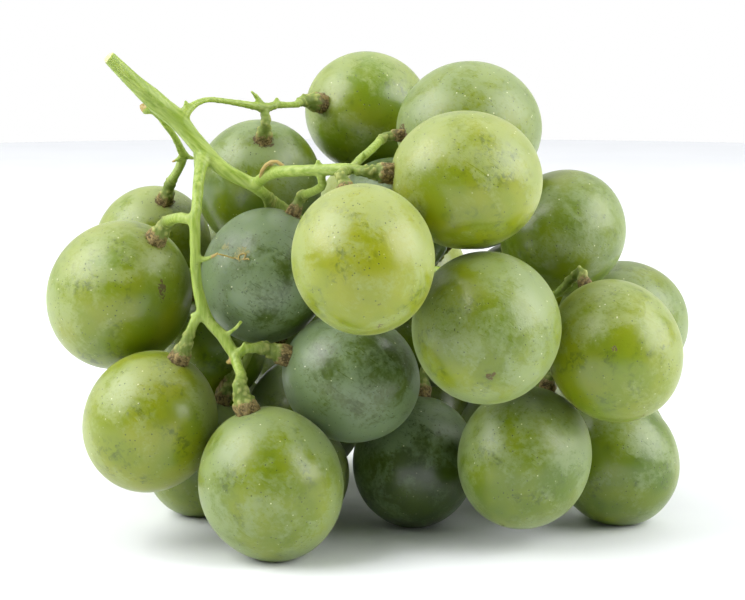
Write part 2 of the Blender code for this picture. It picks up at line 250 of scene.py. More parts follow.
class Recipe:
    """A material or a world made of nodes, one call a node."""

    def __init__(self, owner: bpy.types.Material | bpy.types.World) -> None:
        """Starts with no nodes.

        Args:
            owner: What the nodes belong to.
        """
        owner.use_nodes = True
        self.tree = owner.node_tree
        self.tree.nodes.clear()

    def add(
        self, kind: str, inputs: dict[str | int, object] | None = None, **settings: object
    ) -> bpy.types.Node:
        """Adds a node.

        Args:
            kind: Blender's name for the node's type.
            inputs: What goes into its sockets: another node's output, or a plain value.
            **settings: The node's own properties.

        Returns:
            The node.
        """
        node = self.tree.nodes.new(kind)
        for name, value in settings.items():
            setattr(node, name, value)
        for name, value in (inputs or {}).items():
            if isinstance(value, bpy.types.NodeSocket):
                self.tree.links.new(value, node.inputs[name])
            else:
                node.inputs[name].default_value = value
        return node

    @cached_property
    def place(self) -> Socket:
        """Where a point is, in metres in the bunch's frame."""
        return self.add("ShaderNodeTexCoord").outputs["Object"]

    def painted(self, name: str) -> Socket:
        """The number that the mesh carries under this name."""
        return self.add("ShaderNodeAttribute", attribute_name=name).outputs["Fac"]

    def drawn_out(self, turn: Way | None, length: float = 1.0) -> Socket:
        """The place to read a pattern at.

        Args:
            turn: Degrees about x, y and z that turn the x axis to the way it is drawn out, if it is.
            length: How many times longer it gets that way.

        Returns:
            The place.
        """
        if turn is None:
            return self.place
        inputs = {
            "Vector": self.place,
            "Rotation": [math.radians(angle) for angle in turn],
            "Scale": (length, 1.0, 1.0),
        }
        return self.add("ShaderNodeMapping", inputs, vector_type="TEXTURE").outputs["Vector"]

    def pattern(self, pattern: Pattern) -> Socket:
        """Smooth noise.

        Args:
            pattern: Its sizes, and its step if it has one.

        Returns:
            The noise, from 0 to 1, or from its step's low to its high.
        """
        inputs = {
            "Vector": self.drawn_out(pattern.turn, pattern.length),
            "Scale": 1 / (pattern.size * MM),
            "Detail": pattern.detail,
            "Roughness": 0.6,
            "Distortion": pattern.twist,
        }
        clouds = self.add("ShaderNodeTexNoise", inputs).outputs["Fac"]
        return clouds if pattern.shows is None else self.step(clouds, pattern.shows)

    def dots(self, dots: Dots) -> Socket:
        """Small round dots.

        Args:
            dots: Their sizes.

        Returns:
            1 inside a dot, 0 outside.
        """
        inputs = {"Vector": self.drawn_out(dots.turn), "Scale": 1 / (dots.spacing * MM)}
        cells = self.add("ShaderNodeTexVoronoi", inputs)
        edge = dots.radius / dots.spacing
        inside = self.step(cells.outputs["Distance"], Step(edge, dots.core * edge))
        chosen = self.add("ShaderNodeSeparateColor", {"Color": cells.outputs["Color"]}).outputs["Red"]
        kept = self.step(chosen, Step(dots.share + dots.blur, dots.share - dots.blur))
        return self.sum("MULTIPLY", inside, kept)

    def step(self, value: Socket, step: Step) -> Socket:
        """A smooth step over a value.

        Args:
            value: The value.
            step: The step.

        Returns:
            The stepped value.
        """
        turned_round = step.end < step.start
        inputs = {
            "Value": value,
            "From Min": min(step.start, step.end),
            "From Max": max(step.start, step.end),
            "To Min": step.high if turned_round else step.low,
            "To Max": step.low if turned_round else step.high,
        }
        node = self.add("ShaderNodeMapRange", inputs, interpolation_type="SMOOTHSTEP")
        return node.outputs["Result"]

    def sum(self, operation: str, *values: Socket | float, clamp: bool = False) -> Socket:
        """One sum over two or three values.

        Args:
            operation: Blender's name for it, such as ADD.
            *values: What it works on.
            clamp: Whether the result is kept from 0 to 1.

        Returns:
            The result.
        """
        node = self.add("ShaderNodeMath", dict(enumerate(values)), operation=operation, use_clamp=clamp)
        return node.outputs["Value"]

    def blend(self, share: Socket | float, first: Socket | Colour, second: Socket | Colour) -> Socket:
        """A colour between two.

        Args:
            share: How much of the second it holds.
            first: The colour at 0.
            second: The colour at 1.

        Returns:
            The mixed colour.
        """
        node = self.add("ShaderNodeMix", {0: share, 6: first, 7: second}, data_type="RGBA")
        return node.outputs[2]

    def mix(self, share: Socket, first: Socket, second: Socket) -> Socket:
        """A number between two: the first at a share of 0, the second at 1."""
        return self.add("ShaderNodeMix", {0: share, 2: first, 3: second}, data_type="FLOAT").outputs[0]

    def bump(self, height: Socket, depth: float, strength: float = 1.0) -> Socket:
        """Small relief.

        Args:
            height: The relief, from 0 to 1.
            depth: Its depth, in millimetres.
            strength: How strongly it shows.

        Returns:
            The bent normal.
        """
        inputs = {"Height": height, "Distance": depth * MM, "Strength": strength}
        return self.add("ShaderNodeBump", inputs).outputs["Normal"]

    def finish(self, inputs: dict[str | int, object]) -> None:
        """Puts a material's shader on: what goes into its sockets comes with it."""
        shader = self.add("ShaderNodeBsdfPrincipled", inputs)
        self.add("ShaderNodeOutputMaterial", {"Surface": shader.outputs["BSDF"]})


@dataclass(frozen=True)
class GrapeFinish:
    """A grape's skin: clear flesh, under a waxy bloom that is wiped off in places and, partly as a painted
    rim sheen, thicker towards the rims.
    """

    slot: str
    ripe: Colour
    green: Colour
    bloom: Colour
    thickest: float  # how much of the flesh the thickest bloom hides
    clear_roughness: float = 0.28
    waxy_roughness: float = 0.42
    rough_roughness: float = 0.75  # the brown marks' and the scuffs'
    bruise: Colour = paint(66, 84, 10)
    brown: Colour = paint(92, 76, 34)
    tan: Colour = paint(170, 160, 104)
    pore: Colour = paint(44, 54, 20)
    # the painted glints' colour: near-white specks that stand in for tiny highlights
    painted_glint: Colour = paint(226, 226, 186)
    drift: Pattern = Pattern(9.0, 2.0, Step(0.3, 0.7, -0.25, 0.25))  # how the ripeness drifts
    bruised: Pattern = Pattern(6.0, 2.0, Step(0.5, 0.68), turn=(70.0, 20.0, 5.0))
    blots: Pattern = Pattern(1.0, 5.0, Step(0.46, 0.62), twist=0.6)  # the dark blots in a bruised patch
    blot_strength: float = 0.7
    patches: Pattern = Pattern(6.0, 3.0, Step(0.3, 0.7, -0.45, 0.45), twist=0.6)  # of thin and thick bloom
    powder: Pattern = Pattern(0.8, 4.0, Step(0.3, 0.7, -0.2, 0.2))
    scratches: tuple[Pattern, ...] = (
        Pattern(0.45, 2.0, Step(0.58, 0.72, 0.0, -0.45), turn=(20.0, 35.0, 0.0), length=8.0),
        Pattern(0.45, 2.0, Step(0.58, 0.72, 0.0, -0.45), turn=(-50.0, 10.0, 65.0), length=8.0),
    )
    cover: Step = Step(0.05, 1.0)
    pores: Dots = Dots(0.8, 0.16, 0.55)
    pored: Pattern = Pattern(4.0, 2.0, Step(0.42, 0.52))  # where the pores lie
    pore_strength: float = 0.8
    # where the painted glints lie: near-white specks for tiny highlights
    painted_glints: Dots = Dots(1.2, 0.16, 0.28, turn=(30.0, 60.0, 10.0))
    painted_glint_bloom: Step = Step(0.15, 0.6, 0.25, 0.75)  # how strongly they show over the bloom's thickness
    ragged: Pattern = Pattern(0.6, 5.0, Step(0.3, 0.7, -0.6, 0.6), twist=0.8)  # the edges of marks
    scuffed: Step = Step(0.85, 1.15)
    scuff_strength: float = 0.6
    corked: Step = Step(0.5, 0.9)
    browned: Step = Step(-0.4, 0.1)  # a brown mark's dark specks
    grain: Pattern = Pattern(0.35, 2.0)
    pore_depth: float = -1.5  # beside the grain's 1
    bloom_depth: float = 0.8
    relief_depth: float = 0.03
    relief_strength: float = 0.7

    def flesh(self, recipe: Recipe) -> Socket:
        """The colour under the bloom.

        Args:
            recipe: The material in the making.

        Returns:
            The flesh's colour.
        """
        drift = recipe.pattern(self.drift)
        ripeness = recipe.sum("ADD", recipe.painted("ripeness"), drift, clamp=True)
        colour = recipe.blend(ripeness, self.green, self.ripe)
        blots = recipe.sum("MULTIPLY", recipe.pattern(self.blots), self.blot_strength)
        bruised = recipe.sum("MULTIPLY", recipe.pattern(self.bruised), blots)
        return recipe.blend(bruised, colour, self.bruise)

    def bloom_cover(self, recipe: Recipe) -> Socket:
        """How thick the bloom lies, with its wiped patches and scratches; the bloom it starts from is partly
        a painted rim sheen.

        Args:
            recipe: The material in the making.

        Returns:
            0 where it is wiped off, 1 where it is thickest.
        """
        # the bloom that the mesh carries: thinner towards the camera and thicker towards the rims, partly a
        # painted rim sheen
        cover = recipe.painted("bloom")
        for pattern in (self.patches, self.powder, *self.scratches):
            cover = recipe.sum("ADD", cover, recipe.pattern(pattern))
        return recipe.step(cover, self.cover)

    def marked(self, recipe: Recipe, colour: Socket, bloom: Socket) -> tuple[Socket, Socket, Socket]:
        """Pores, painted glints (near-white specks for tiny highlights), tan scuffs and brown marks over the
        skin.

        Args:
            recipe: The material in the making.
            colour: The skin's colour without them.
            bloom: How thick the bloom lies.

        Returns:
            The colour with them, the pores, and the rough spots.
        """
        pores = recipe.sum("MULTIPLY", recipe.dots(self.pores), recipe.pattern(self.pored))
        colour = recipe.blend(recipe.sum("MULTIPLY", pores, self.pore_strength), colour, self.pore)
        # painted glints: near-white specks for tiny highlights, stronger where the bloom lies thick
        painted_glints = recipe.sum("MULTIPLY", recipe.dots(self.painted_glints), recipe.step(bloom, self.painted_glint_bloom))
        colour = recipe.blend(painted_glints, colour, self.painted_glint)
        ragged = recipe.pattern(self.ragged)
        scuff = recipe.step(recipe.sum("ADD", recipe.painted("scuff"), ragged), self.scuffed)
        colour = recipe.blend(recipe.sum("MULTIPLY", scuff, self.scuff_strength), colour, self.tan)
        cork = recipe.step(recipe.sum("ADD", recipe.painted("cork"), ragged), self.corked)
        brown = recipe.blend(recipe.step(ragged, self.browned), self.pore, self.brown)
        return recipe.blend(cork, colour, brown), pores, recipe.sum("MAXIMUM", cork, scuff)

    def material(self) -> bpy.types.Material:
        """Makes the finished skin.

        Returns:
            The skin, as one material.
        """
        material = bpy.data.materials.new(f"waxy_{self.slot}")
        recipe = Recipe(material)
        bloom = self.bloom_cover(recipe)
        hidden = recipe.sum("MULTIPLY", bloom, self.thickest)
        colour = recipe.blend(hidden, self.flesh(recipe), self.bloom)
        colour, pores, rough = self.marked(recipe, colour, bloom)
        roughness = recipe.step(bloom, Step(0.0, 1.0, self.clear_roughness, self.waxy_roughness))
        rough_spots = recipe.sum("MULTIPLY", rough, self.rough_roughness)
        pitted = recipe.sum("MULTIPLY", pores, self.pore_depth)
        relief = recipe.sum("ADD", recipe.pattern(self.grain), pitted)
        raised = recipe.sum("MAXIMUM", rough, recipe.sum("MULTIPLY", bloom, self.bloom_depth))
        relief = recipe.sum("ADD", relief, raised)
        recipe.finish(
            {
                "Base Color": colour,
                "Roughness": recipe.sum("MAXIMUM", roughness, rough_spots),
                "IOR": 1.6,
                "Subsurface Weight": 0.6,
                "Subsurface Radius": (1.0, 1.0, 0.25),
                "Subsurface Scale": 2.2 * MM,
                "Sheen Weight": 0.11,
                "Sheen Roughness": 0.3,
                "Sheen Tint": (0.92, 1.0, 0.8, 1.0),
                "Normal": recipe.bump(relief, self.relief_depth, self.relief_strength),
            }
        )
        return material


class Skin(Enum):
    """The three skins of the bunch."""

    YELLOW = GrapeFinish("yellow_skin", paint(138, 146, 0), paint(98, 126, 0), paint(156, 168, 110), 0.55)
    GREEN = GrapeFinish("green_skin", paint(124, 138, 0), paint(76, 104, 0), paint(140, 156, 108), 0.6)
    BLOOMED = GrapeFinish("bloomed_skin", paint(82, 102, 12), paint(48, 68, 10), paint(114, 134, 94), 0.85)


@dataclass(frozen=True)
class BarkFinish:
    """The stem's skin: smooth green, corky round the caps, brown where it was cut or has dried."""

    slot: str = "stem"
    lit: Colour = paint(164, 182, 92)
    green: Colour = paint(122, 148, 40)
    wart: Colour = paint(158, 164, 92)
    hollow: Colour = paint(70, 84, 22)
    cork: Colour = paint(78, 64, 34)
    pale_cork: Colour = paint(150, 132, 84)
    dry: Colour = paint(168, 148, 86)
    heartwood: Colour = paint(206, 204, 150)
    leaning: Pattern = Pattern(0.6, 2.0, turn=(0.0, 41.0, 0.0), length=14.0)  # the main stem's streaks
    upright: Pattern = Pattern(0.6, 2.0, turn=(0.0, 90.0, 0.0), length=14.0)  # the hanging branches'
    level: Pattern = Pattern(0.6, 2.0, turn=(0.0, 0.0, 0.0), length=14.0)  # the level branches'
    lit_streaks: Step = Step(0.24, 0.78)
    knobbly_shade: float = 0.6
    fine: Pattern = Pattern(0.5, 3.0)
    ragged: Step = Step(0.3, 0.7, -0.3, 0.3)  # the edges of the dried and the corky parts
    dried: Step = Step(0.4, 0.7)
    corked: Step = Step(0.35, 0.75)
    pale_grain: Step = Step(0.42, 0.62)  # the paler grain in the cork
    wart_paleness: float = 0.6
    pores: Dots = Dots(0.9, 0.12, 0.3)
    pore_strength: float = 0.6
    roughness: Step = Step(0.0, 1.0, 0.42, 0.6)  # from the smooth to the knobbly parts
    cork_roughness: float = 0.8
    relief_depth: float = 0.1
    relief_strength: float = 0.6

    def material(self) -> bpy.types.Material:
        """Makes the finished bark.

        Returns:
            The bark, as one material.
        """
        material = bpy.data.materials.new("corky_stem")
        recipe = Recipe(material)
        upright = recipe.pattern(self.upright)
        leaning = recipe.pattern(self.leaning)
        streaks = recipe.mix(recipe.painted("leaning"), upright, leaning)
        streaks = recipe.mix(recipe.painted("level"), streaks, recipe.pattern(self.level))
        knobbly = recipe.painted("knobbly")
        wart = recipe.painted("wart")
        fine = recipe.pattern(self.fine)
        ragged = recipe.step(fine, self.ragged)
        colour = recipe.blend(recipe.step(streaks, self.lit_streaks), self.green, self.lit)
        colour = recipe.blend(recipe.sum("MULTIPLY", knobbly, self.knobbly_shade), colour, self.hollow)
        colour = recipe.blend(wart, colour, self.wart)
        dry = recipe.step(recipe.sum("ADD", recipe.painted("dry"), ragged), self.dried)
        colour = recipe.blend(dry, colour, self.dry)
        cork = recipe.step(recipe.sum("ADD", recipe.painted("cork"), ragged), self.corked)
        bark = recipe.blend(recipe.step(fine, self.pale_grain), self.cork, self.pale_cork)
        bark = recipe.blend(recipe.sum("MULTIPLY", wart, self.wart_paleness), bark, self.pale_cork)
        colour = recipe.blend(cork, colour, bark)
        colour = recipe.blend(recipe.painted("cut"), colour, self.heartwood)
        pores = recipe.sum("MULTIPLY", recipe.dots(self.pores), self.pore_strength)
        colour = recipe.blend(pores, colour, self.hollow)
        corky = recipe.sum("MULTIPLY", cork, self.cork_roughness)
        relief = recipe.sum("ADD", fine, streaks)
        recipe.finish(
            {
                "Base Color": colour,
                "Roughness": recipe.sum("MAXIMUM", recipe.step(knobbly, self.roughness), corky),
                "IOR": 1.45,
                "Subsurface Weight": 0.35,
                "Subsurface Radius": (1.0, 1.0, 0.3),
                "Subsurface Scale": 0.8 * MM,
                "Normal": recipe.bump(relief, self.relief_depth, self.relief_strength),
            }
        )
        return material


@dataclass(frozen=True)
class Mark:
    """A brown mark or a tan scuff on a grape."""

    way: Way  # to it from the grape's middle
    radius: float  # in millimetres
    taller: float = 1.0  # its height over its width
    scuff: bool = False
    edge: Span = (1.5, 0.5)  # in its radii

    def spread(self, ways: np.ndarray, reach: float) -> np.ndarray:
        """How strongly the mark shows.

        Args:
            ways: Unit vectors from the grape's middle.
            reach: The skin's distance from the middle, in metres.

        Returns:
            1 in the mark's middle, 0 outside, for each way.
        """
        middle = Vector(self.way).normalized()
        across = middle.cross(Vector((0.0, 0.0, 1.0))).normalized()
        up = across.cross(middle)
        off = np.hypot(ways @ np.array(across), ways @ np.array(up) / self.taller) * reach / MM
        return fade(off / self.radius, *self.edge) * (ways @ np.array(middle) > 0)


@dataclass
class Grape:
    """One grape, measured from its CAD solid."""

    number: int
    skin: Skin
    ripeness: float  # 0 green, 1 yellow
    bloom: float  # 0 bare, 1 waxy all over
    marks: tuple[Mark, ...] = ()
    clear_side: Way = (0.1, -0.9, -0.35)  # to its clearest side, turned towards the camera; away from it the bloom lies thicker, partly as a painted rim sheen
    clear_side_round: Span = (70.0, 28.0)  # how far round that side reaches, in degrees
    rub_and_rim_sheen: float = 0.3  # how much bloom that side lacks and the rest has besides: partly wear, partly painted rim sheen
    around: int = 120
    along: int = 80
    unevenness: Wander = Wander(0.12, 9.0)  # how far the skin lies in or out
    riper: Wander = Wander(0.25, 12.0, 3.0)
    waxier: Wander = Wander(0.35, 9.0, 7.0)
    stalk_bloom: float = 0.15  # the thicker bloom round the stalk
    stalk_bloom_reach: Span = (9.0, 3.0)
    patch_depth: float = 0.3  # how much of a resting grape its CAD solid leaves off
    longer: float = 1.085  # its length over its width
    dimple: float = 0.25
    dimple_radius: float = 2.6
    scar: float = 0.45  # the flower end's radius
    scar_height: float = 0.12
    scar_edge: Span = (1.4, 0.5)  # in its radii
    cork_reach: Span = (2.3, 1.61)  # how far the brown ring reaches round the stalk
    centre: Vector = field(init=False)
    stalk: Vector = field(init=False)
    half_length: float = field(init=False)
    rests: bool = field(init=False)

    @property
    def node(self) -> str:
        """The CAD solid's name."""
        return f"grape_{self.number:02d}"

    def measure(self, stem_points: np.ndarray) -> None:
        """Reads the grape's middle, its stalk's way and its length from its CAD solid.

        Args:
            stem_points: The CAD stem's vertices, in metres: the pole nearest to one of them is the stalk end.
        """
        low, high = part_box(self.node)
        self.rests = low.z < RESTING * MM
        if self.rests:
            low.z -= self.patch_depth * MM
        self.centre = (low + high) / 2
        lines = points_of(frame["nodes"][self.node].data) - np.array(self.centre)
        lengths = np.linalg.norm(lines, axis=1)
        pole = Vector(lines[lengths.argmax()])
        self.half_length = pole.length

        def room(end: Vector) -> float:
            """How near the stem comes to this end."""
            return float(np.linalg.norm(stem_points - np.array(self.centre + end), axis=1).min())

        self.stalk = min((pole, -pole), key=room).normalized()

    def clearance(self, points: np.ndarray) -> tuple[np.ndarray, np.ndarray]:
        """How far points are from the skin, and the way to it.

        Args:
            points: Rows of x, y, z, in metres.

        Returns:
            The distances along the lines to the middle, in metres, and those lines' unit directions.
        """
        lines = np.array(self.centre) - points
        along = lines @ np.array(self.stalk)
        lengths = np.linalg.norm(lines, axis=1)
        across = np.sqrt(np.maximum(lengths**2 - along**2, 0))
        scaled = np.hypot(along / self.half_length, across / (self.half_length / self.longer))
        return lengths * (1 - 1 / scaled), lines / lengths[:, None]

    def build(self, material: bpy.types.Material) -> bpy.types.Object:
        """Makes the grape's mesh with its attributes, dresses it and puts it in the frame.

        Args:
            material: Its skin.

        Returns:
            The finished piece.
        """
        half_width = self.half_length / self.longer
        shell = bmesh.new()
        bmesh.ops.create_uvsphere(
            shell, u_segments=self.around, v_segments=self.along, radius=1.0, calc_uvs=True
        )
        stretch = Matrix.Diagonal((half_width, half_width, self.half_length, 1.0))
        turn = self.stalk.to_track_quat("Z", "Y").to_matrix().to_4x4()
        bmesh.ops.transform(shell, matrix=Matrix.Translation(self.centre) @ turn @ stretch, verts=shell.verts)
        for face in shell.faces:
            face.smooth = True
        mesh = bpy.data.meshes.new(f"berry_{self.number:02d}")
        shell.to_mesh(mesh)
        shell.free()
        self.shape(mesh)
        self.paint(mesh)
        mesh.materials.append(material)
        piece = placed(mesh.name, mesh)
        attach(piece, BODY)
        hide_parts(self.node)
        return piece

    def shape(self, mesh: bpy.types.Mesh) -> None:
        """Makes the plain form a grown one: uneven, dimpled round the stalk, flat where it rests.

        Args:
            mesh: The grape's mesh.
        """
        points = points_of(mesh)
        off_stalk = self.off_axis(points, self.stalk)
        off_flower = self.off_axis(points, -self.stalk)
        rise = self.unevenness.over(points, self.number)
        rise -= self.dimple * np.exp(-((off_stalk / self.dimple_radius) ** 2))
        rise += self.scar_height * np.exp(-((off_flower / self.scar) ** 2))
        points += self.ways_out(points) * (rise * MM)[:, None]
        if self.rests:
            points[:, 2] = np.maximum(points[:, 2], 0.0)
        place_points(mesh, points)

    def ways_out(self, points: np.ndarray) -> np.ndarray:
        """Unit directions from the grape's middle to points."""
        lines = points - np.array(self.centre)
        return lines / np.linalg.norm(lines, axis=1)[:, None]

    def off_axis(self, points: np.ndarray, way: Vector) -> np.ndarray:
        """How far points are from where this way along the axis meets the skin, in millimetres."""
        pole = np.array(self.centre + way * self.half_length)
        return np.linalg.norm(points - pole, axis=1) / MM

    def paint(self, mesh: bpy.types.Mesh) -> None:
        """Writes the ripeness, bloom (partly a painted rim sheen), cork and scuffs that the skin reads.

        Args:
            mesh: The grape's mesh.
        """
        points = points_of(mesh)
        ways = self.ways_out(points)
        off_stalk = self.off_axis(points, self.stalk)
        off_flower = self.off_axis(points, -self.stalk)
        cork = np.maximum(
            fade(off_flower / self.scar, *self.scar_edge), fade(off_stalk, *self.cork_reach)
        )
        scuff = np.zeros(len(points))
        for mark in self.marks:
            spread = mark.spread(ways, self.half_length)
            if mark.scuff:
                scuff = np.maximum(scuff, spread)
            else:
                cork = np.maximum(cork, spread)
        # bloom thinner on the side towards the camera and thicker round the rims: partly worn bloom, partly
        # painted rim sheen
        towards = ways @ np.array(Vector(self.clear_side).normalized())
        off_clear_side = np.degrees(np.arccos(np.clip(towards, -1, 1)))
        bloom = self.bloom + self.rub_and_rim_sheen * (1 - 2 * fade(off_clear_side, *self.clear_side_round))
        bloom += self.waxier.over(points, self.number)
        bloom += self.stalk_bloom * fade(off_stalk, *self.stalk_bloom_reach)
        paint_points(mesh, "ripeness", self.ripeness + self.riper.over(points, self.number))
        paint_points(mesh, "bloom", bloom)
        paint_points(mesh, "cork", cork)
        paint_points(mesh, "scuff", scuff)


@dataclass
class Stem:
    """The stem: the CAD stem grown into bark, caps and dried ends."""

    grapes: list[Grape]
    voxel: float = 0.285
    smoothings: int = 5
    press: float = 0.45  # how far a cap's face sinks into its grape's dimple
    reach: float = 0.75  # faces this near a grape are pressed on to it
    rim: Span = (2.6, 0.91)  # how far the brown rim climbs from the skin
    rim_length: Span = (5.0, 3.5)  # how far the rim reaches along a stalk from its grape
    warty_length: Span = (8.0, 3.6)  # and how far the warts do
    wart_height: float = 0.3
    wart_spacing: float = 1.0
    wart_radius: float = 0.45
    faintest: float = 0.02  # where the warts are fainter than this there are none
    swell: Wander = Wander(0.08, 3.5, 9.0)
    cut_end: Way = (-44.7, -18.5, 83.6)
    cut_way: Way = (0.8, 0.08, -0.6)  # down the main stem
    cut_depth: Span = (0.5, 0.25)
    main_across: Way = (0.66, 0.0, 0.75)  # across the main stem, which has the streaks that lean
    main_width: Span = (3.6, 2.4)
    main_front: Span = (-22.0, -20.0)  # along y
    level_right: Span = (-27.0, -24.0)  # along x: the branches beyond lie level
    level_top: Span = (56.0, 62.0)  # along z
    dried_edge: Span = (1.3, 0.7)  # of a dried spot, in its radii
    dried: tuple[tuple[float, float, float, float], ...] = (  # each one's x, y, z and radius
        (-39.7, -13.5, 75.2, 1.6),
        (-36.1, 2.5, 63.5, 0.9),
        (-31.1, 1.5, 64.2, 0.9),
        (-25.9, -26.5, 51.2, 1.6),
        (-17.3, -21.4, 66.1, 1.0),
        (-24.8, -26.5, 32.5, 1.2),
    )
    thread_grape: int = 9
    thread_start: Way = (-26.0, -26.5, 51.0)
    thread_end: Way = (-21.4, -25.5, 50.4)
    thread_radius: float = 0.13
    thread_points: int = 48
    thread_bow: Way = (0.25, 0.1, 1.0)  # the way that it arches and waves
    thread_arch: float = 0.9
    thread_wave: float = 0.7
    thread_waves: float = 4.4  # in half waves
    thread_sway: float = 0.5  # its wave along x
    thread_sways: float = 6.2
    thread_lift: float = 0.8  # how far its middle lies off the skin, in its radii
    thread_free: Span = (0.0, 0.12)  # the share of it that isn't laid on the skin yet
    strand_sides: int = 6
    collar: tuple[Way, ...] = (
        (-19.0, -20.3, 63.3),
        (-18.7, -21.3, 64.5),
        (-18.0, -21.9, 65.5),
        (-17.1, -22.1, 66.1),
        (-16.1, -22.3, 66.1),
        (-15.2, -22.6, 65.5),
        (-14.9, -22.8, 64.9),
    )
    collar_radius: float = 0.34

    def build(self, finish: BarkFinish) -> bpy.types.Object:
        """Makes the stem's mesh with its attributes, dresses it and puts it in the frame.

        Args:
            finish: Its bark.

        Returns:
            The finished piece.
        """
        mesh = self.remeshed()
        points = points_of(mesh)
        nearest, ways = self.nearest_skin(points)
        poles = np.min([grape.off_axis(points, grape.stalk) for grape in self.grapes], axis=0)
        knobbly = fade(poles, *self.warty_length)
        bumps = np.zeros(len(points))
        rough = knobbly > self.faintest
        bumps[rough] = warts(points[rough], self.wart_spacing, self.wart_radius)
        bumps *= knobbly
        place_points(mesh, self.pressed(self.warted(mesh, points, bumps), nearest, ways))
        cork = fade(nearest / MM, *self.rim) * fade(poles, *self.rim_length)
        self.paint(mesh, {"knobbly": knobbly, "wart": bumps, "cork": cork})
        self.add_dried(mesh)
        mesh.materials.append(finish.material())
        piece = placed(mesh.name, mesh)
        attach(piece, BODY)
        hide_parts(STEM_NODE)
        return piece

    def remeshed(self) -> bpy.types.Mesh:
        """Copies the CAD stem, merged, remeshed fine and smoothed.

        Returns:
            The copy.
        """
        grown = bmesh.new()
        grown.from_mesh(frame["nodes"][STEM_NODE].data)
        bmesh.ops.remove_doubles(grown, verts=grown.verts, dist=MERGED * MM)
        rough = bpy.data.meshes.new("stem_rough")
        grown.to_mesh(rough)
        grown.free()
        helper = placed(rough.name, rough)
        remesh = helper.modifiers.new("fine", "REMESH")
        remesh.mode = "VOXEL"
        remesh.voxel_size = self.voxel * MM
        remesh.use_smooth_shade = True
        smooth = helper.modifiers.new("round", "SMOOTH")
        smooth.factor = 0.5
        smooth.iterations = self.smoothings
        bpy.context.view_layer.update()
        evaluated = helper.evaluated_get(bpy.context.evaluated_depsgraph_get())
        mesh = bpy.data.meshes.new_from_object(evaluated)
        mesh.name = "bunch_stem"
        mesh.materials.clear()
        bpy.data.objects.remove(helper)
        return mesh

    def nearest_skin(self, points: np.ndarray) -> tuple[np.ndarray, np.ndarray]:
        """The distance from each point to the nearest grape's skin, and the way to it.

        Args:
            points: Rows of x, y, z, in metres.

        Returns:
            The distances, in metres, and unit directions.
        """
        nearest = np.full(len(points), 1.0)
        ways = np.zeros_like(points)
        for grape in self.grapes:
            clearance, way = grape.clearance(points)
            closer = clearance < nearest
            nearest[closer] = clearance[closer]
            ways[closer] = way[closer]
        return nearest, ways

    def warted(self, mesh: bpy.types.Mesh, points: np.ndarray, bumps: np.ndarray) -> np.ndarray:
        """Moves points out along their normals on the warts, and a little in and out elsewhere.

        Args:
            mesh: The stem's mesh, for its normals.
            points: Its vertices as rows of x, y, z, in metres.
            bumps: How high each one lies on a wart, from 0 to 1.

        Returns:
            The moved points.
        """
        flat = np.empty(len(mesh.vertices) * 3)
        mesh.vertices.foreach_get("normal", flat)
        swell = self.wart_height * bumps + self.swell.over(points)
        return points + flat.reshape(-1, 3) * (swell * MM)[:, None]

    def pressed(self, points: np.ndarray, nearest: np.ndarray, ways: np.ndarray) -> np.ndarray:
        """Moves every cap's face on to its grape.

        Args:
            points: Rows of x, y, z, in metres.
            nearest: Their distances from the nearest skin, in metres.
            ways: The unit directions to it.

        Returns:
            The moved points.
        """
        gap = nearest / MM
        push = (np.minimum(gap, self.reach) + self.press) * fade(gap, 2.0 * self.reach, self.reach)
        return points + ways * (push * MM)[:, None]

    def paint(self, mesh: bpy.types.Mesh, shares: dict[str, np.ndarray]) -> None:
        """Writes what the bark reads.

        Args:
            mesh: The stem's mesh.
            shares: What was already worked out for each vertex, by name.
        """
        points = points_of(mesh) / MM
        x, y, z = points.T
        dry = np.zeros(len(points))
        for spot_x, spot_y, spot_z, radius in self.dried:
            off = np.linalg.norm(points - (spot_x, spot_y, spot_z), axis=1)
            dry = np.maximum(dry, fade(off / radius, *self.dried_edge))
        for name, values in shares.items():
            paint_points(mesh, name, values)
        paint_points(mesh, "dry", dry)
        from_cut = points - self.cut_end
        paint_points(mesh, "cut", fade(from_cut @ np.array(self.cut_way), *self.cut_depth))
        off_main = np.abs(from_cut @ np.array(self.main_across))
        on_main = fade(off_main, *self.main_width) * fade(y, *self.main_front)
        paint_points(mesh, "leaning", on_main)
        level = fade(x, *self.level_right) * (1 - on_main) * fade(z, *self.level_top)
        paint_points(mesh, "level", level)

    def thread_route(self) -> list[Vector]:
        """Lays the dried thread in waves on its grape.

        Returns:
            The points of its middle line, in metres.
        """
        start = np.array(self.thread_start)
        end = np.array(self.thread_end)
        share = np.linspace(0.0, 1.0, self.thread_points)[:, None]
        route = start + (end - start) * share
        swing = np.sin(math.pi * share)
        wave = self.thread_wave * np.sin(self.thread_waves * math.pi * share)
        route += np.array(self.thread_bow) * swing * (wave + self.thread_arch)
        route[:, :1] += self.thread_sway * swing * np.cos(self.thread_sways * math.pi * share)
        grape = next(grape for grape in self.grapes if grape.number == self.thread_grape)
        gaps, ways = grape.clearance(route * MM)
        lift = gaps - self.thread_radius * MM * self.thread_lift
        held = fade(share[:, 0], *self.thread_free)
        return [Vector(point) for point in route * MM + ways * (lift * held)[:, None]]

    def add_dried(self, mesh: bpy.types.Mesh) -> None:
        """Adds the dried thread and the dried collar to the stem.

        Args:
            mesh: The stem's mesh, which has the layer dry.
        """
        shell = bmesh.new()
        shell.from_mesh(mesh)
        self.draw(shell, self.thread_route(), self.thread_radius)
        collar = [Vector(point) * MM for point in self.collar]
        self.draw(shell, collar, self.collar_radius)
        shell.to_mesh(mesh)
        shell.free()

